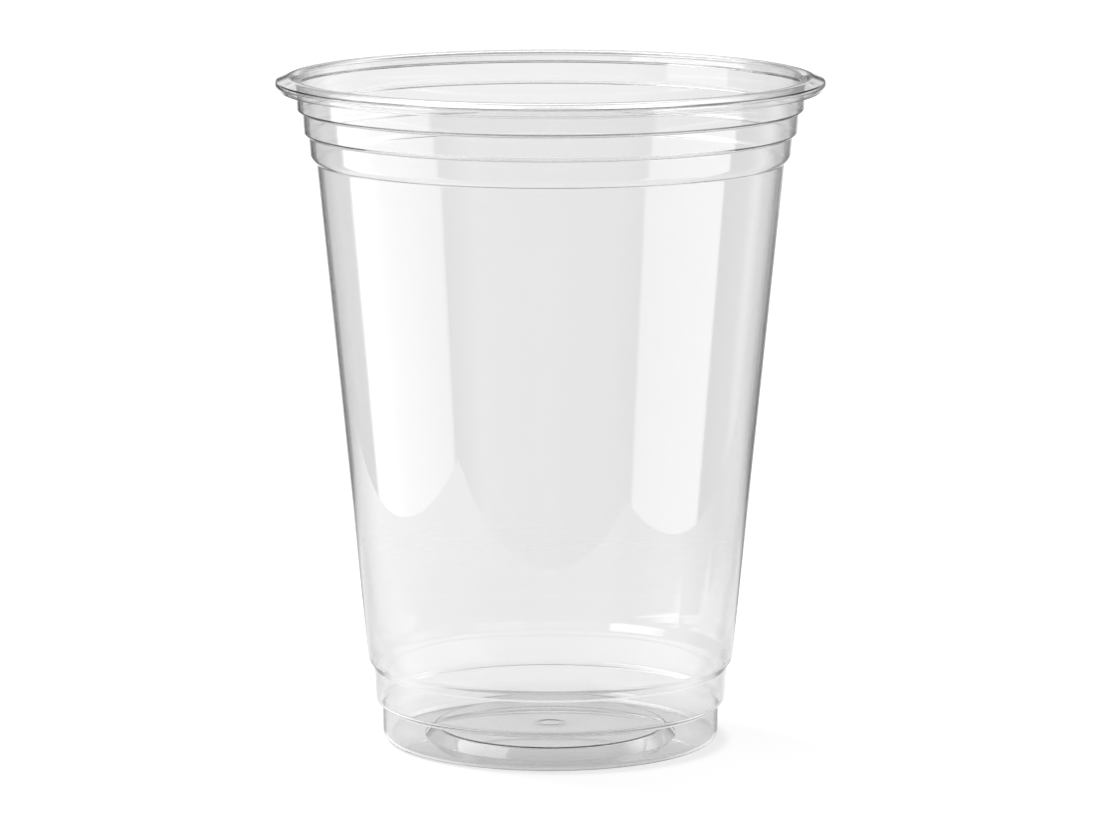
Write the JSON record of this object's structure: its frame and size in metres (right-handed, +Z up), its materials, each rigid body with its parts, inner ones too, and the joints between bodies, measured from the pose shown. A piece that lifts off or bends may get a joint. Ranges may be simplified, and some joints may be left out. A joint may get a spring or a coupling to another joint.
{
  "type": "disposable cup",
  "caption": "Clear plastic cold-drink cup: tapered wall, stepped collar, rolled lip, and a pushed-up base with a flat foot ring.",
  "frame": {"origin": "centre of the foot ring, in the plane that the cup stands on", "axes": "+Z up along the cup's axis, towards the open mouth; the cup is round about it, so X and Y are free"},
  "size_m": [0.0978, 0.0978, 0.1199],
  "materials": {
    "clear_plastic": "clear, smooth and glossy"
  },
  "bodies": {
    "root": {"cup": "clear_plastic"}
  },
  "joints": []
}
